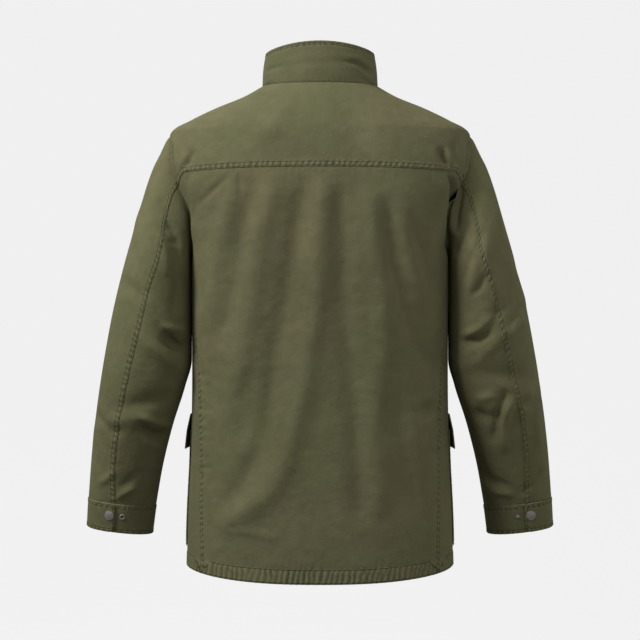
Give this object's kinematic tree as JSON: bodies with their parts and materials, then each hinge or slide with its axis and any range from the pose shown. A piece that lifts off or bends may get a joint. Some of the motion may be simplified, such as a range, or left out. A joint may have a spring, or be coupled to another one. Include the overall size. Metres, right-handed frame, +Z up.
{
  "type": "field jacket",
  "caption": "Hip-length cotton field jacket worn closed and hollow: stand collar, back yoke, two-piece sleeves, snap cuffs, snapped placket and flapped lower pockets",
  "frame": {"origin": "middle of the neck opening at the collar seam, where the wearer's neck holds the jacket", "axes": "+Z up, +Y out of the back, -Y out of the front, +X to the wearer's left"},
  "size_m": [0.7316, 0.2749, 0.8092],
  "materials": {
    "cloth": "washed olive cotton twill, matt with a soft sheen",
    "cloth_doubled": "two layers of washed olive cotton twill, matt",
    "snap_metal": "dull dark pewter snaps"
  },
  "bodies": {
    "root": {"back_yoke": "cloth", "back_panel": "cloth", "front_left": "cloth", "front_right": "cloth", "placket": "cloth", "pocket_left": "cloth", "pocket_right": "cloth", "pocket_flap_left": "cloth", "pocket_flap_right": "cloth", "sleeve_top_left": "cloth", "sleeve_top_right": "cloth", "sleeve_under_left": "cloth", "sleeve_under_right": "cloth", "collar": "cloth_doubled", "cuff_left": "cloth_doubled", "cuff_right": "cloth_doubled", "cap_cuff_left": "snap_metal", "cap_cuff_right": "snap_metal", "socket_cuff_left": "snap_metal", "stud_cuff_right": "snap_metal", "cap_collar": "snap_metal", "cap_placket_1": "snap_metal", "cap_placket_2": "snap_metal", "cap_placket_3": "snap_metal", "cap_placket_4": "snap_metal", "cap_placket_5": "snap_metal"}
  },
  "joints": []
}
